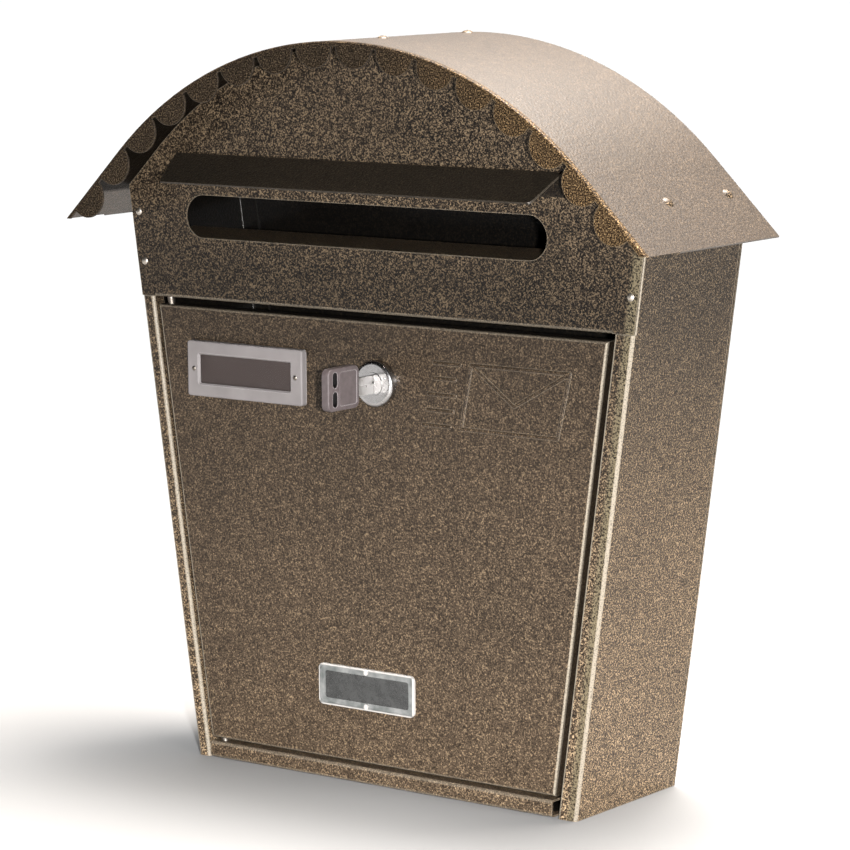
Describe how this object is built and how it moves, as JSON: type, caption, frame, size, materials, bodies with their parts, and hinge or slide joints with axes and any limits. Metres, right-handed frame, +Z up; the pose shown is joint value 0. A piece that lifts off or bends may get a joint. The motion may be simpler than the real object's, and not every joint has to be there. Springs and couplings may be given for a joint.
{
  "type": "wall mounted mailbox",
  "caption": "Tapered sheet-steel wall mailbox with arched scalloped roof, hooded letter slot, side-hinged door, cam lock with key, name plate and viewing window.",
  "frame": {"origin": "centre of the four wall-screw holes, on the back panel's outer face", "axes": "+X to the viewer's right, +Y into the wall, +Z up"},
  "size_m": [0.3652, 0.1334, 0.3853],
  "materials": {
    "hammertone": "bronze hammertone paint",
    "rivet_steel": "paint-touched steel",
    "plate_metal": "satin",
    "clear_plastic": "clear, lightly scuffed",
    "card": "blank coated card",
    "bezel_plastic": "satin grey",
    "dark_plastic": "moulded, fine texture",
    "chrome": "polished",
    "zinc_steel": "bright zinc plate",
    "brass": "stamped",
    "nickel": "nickel plate"
  },
  "bodies": {
    "casing": {"back_panel": "hammertone", "left_side_panel": "hammertone", "right_side_panel": "hammertone", "bottom_panel": "hammertone", "upper_front_panel": "hammertone", "front_rivets": "rivet_steel", "slot_hood": "hammertone", "hood_rivets": "hammertone", "letter_guide": "hammertone", "roof": "hammertone", "roof_rivets": "hammertone", "hinge_pin_top": "rivet_steel", "hinge_pin_bottom": "rivet_steel"},
    "door": {"door_panel": "hammertone", "nameplate_frame": "plate_metal", "nameplate_window": "clear_plastic", "name_card": "card", "nameplate_screws": "rivet_steel", "window_bezel": "bezel_plastic", "window_pane": "clear_plastic", "window_retainer": "dark_plastic", "lock_housing": "chrome", "lock_nut": "zinc_steel"},
    "lock": {"lock_plug": "chrome", "lock_wafers": "brass", "lock_cam": "zinc_steel", "cam_washer": "zinc_steel", "cam_screw": "zinc_steel"},
    "key": {"key_blade": "nickel", "key_head": "dark_plastic"}
  },
  "joints": [
    {"name": "door_hinge", "type": "hinge", "parent": "casing", "child": "door", "pos_m": [-0.12528, -0.085, 0], "axis": [0.137, 0, -0.9906], "range_deg": [0, 110]},
    {"name": "lock_turn", "type": "hinge", "parent": "door", "child": "lock", "pos_m": [0.001, -0.09, 0.0753], "axis": [0, -1, 0], "range_deg": [0, 90]},
    {"name": "key_pull", "type": "slide", "parent": "lock", "child": "key", "axis": [0, -1, 0], "range_m": [0, 0.02]}
  ]
}
